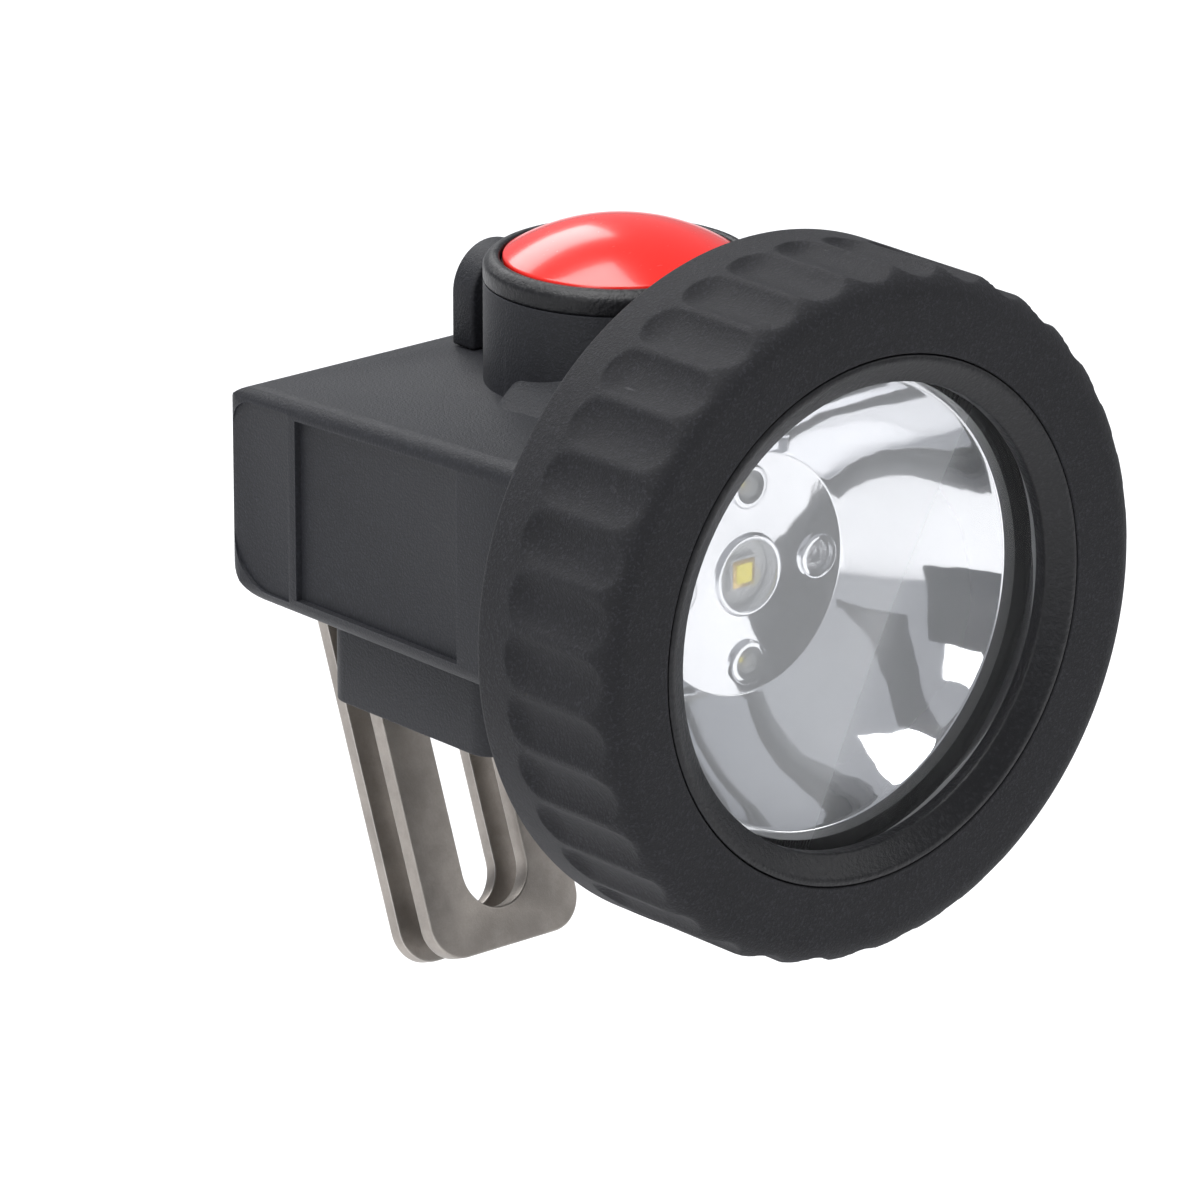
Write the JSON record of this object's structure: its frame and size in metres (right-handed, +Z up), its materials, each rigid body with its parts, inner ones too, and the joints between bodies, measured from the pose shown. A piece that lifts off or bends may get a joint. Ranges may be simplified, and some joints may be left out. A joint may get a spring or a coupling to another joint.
{
  "type": "miner's cap lamp",
  "caption": "Cordless cap lamp: round head in a fluted rubber bezel, battery box, top push button and steel two-leaf helmet clip.",
  "frame": {"origin": "between the two leaves of the steel clip, at the middle of their slots, where the helmet's lamp bracket holds the lamp", "axes": "+Z up; the beam points to -Y; +X is to the right of someone who looks at the lens"},
  "size_m": [0.072, 0.0851, 0.0895],
  "materials": {
    "housing_black": "fine-grained black polycarbonate",
    "rubber_black": "moulded charcoal rubber with a fine grain",
    "ring_black": "hard black nylon, satin",
    "seal_rubber": "smooth seal rubber",
    "clear_lens": "clear polished polycarbonate",
    "mirror_cup": "vacuum-metallised mirror",
    "led_yellow": "phosphor under clear silicone",
    "led_small": "water-clear epoxy",
    "board_white": "white solder mask on aluminium",
    "sink_aluminium": "turned aluminium",
    "cell_wrap": "blue shrink sleeve",
    "nickel": "nickel strip",
    "holder_grey": "grey nylon",
    "board_green": "green solder mask",
    "driver_black": "moulded electronic parts",
    "contact_gold": "gold-plated brass",
    "wire_red": "insulated wire",
    "wire_black": "insulated wire",
    "button_red": "glossy red moulded plastic",
    "switch_black": "switch body",
    "spring_steel": "drawn spring wire",
    "clip_steel": "bead-blasted stainless steel",
    "screw_steel": "stainless screws"
  },
  "bodies": {
    "lamp": {"housing": "housing_black", "base_cover": "housing_black", "base_gasket": "seal_rubber", "cover_screws": "screw_steel", "bezel_seal": "seal_rubber", "lens": "clear_lens", "lens_gasket": "seal_rubber", "reflector": "mirror_cup", "reflector_screws": "screw_steel", "main_led": "led_yellow", "aux_leds": "led_small", "led_board": "board_white", "heat_sink": "sink_aluminium", "battery_cells": "cell_wrap", "cell_tabs": "nickel", "cell_holders": "holder_grey", "control_board": "board_green", "driver_parts": "driver_black", "charge_contacts": "contact_gold", "led_leads": "wire_red", "switch_leads": "wire_black", "button_collar": "ring_black", "button_spring": "spring_steel", "tact_switch": "switch_black", "switch_board": "board_green", "lanyard_eye": "housing_black", "clip_block": "housing_black", "block_screws": "screw_steel", "clip_plate": "clip_steel", "clip_spacer": "clip_steel", "clip_tongue": "clip_steel", "clip_screws": "screw_steel"},
    "bezel": {"bezel_grip": "rubber_black", "bezel_ring": "ring_black"},
    "button": {"button": "button_red", "button_seal": "seal_rubber"}
  },
  "joints": [
    {"name": "bezel_turn", "type": "hinge", "parent": "lamp", "child": "bezel", "pos_m": [0, -0.05687, 0.03477], "axis": [0, -1, 0], "range_deg": [0, 60]},
    {"name": "button_press", "type": "slide", "parent": "lamp", "child": "button", "axis": [0, 0, -1], "range_m": [0, 0.0015], "stiffness_N_per_m": 900, "springref_m": -0.001, "deforming": ["button_spring"]}
  ]
}
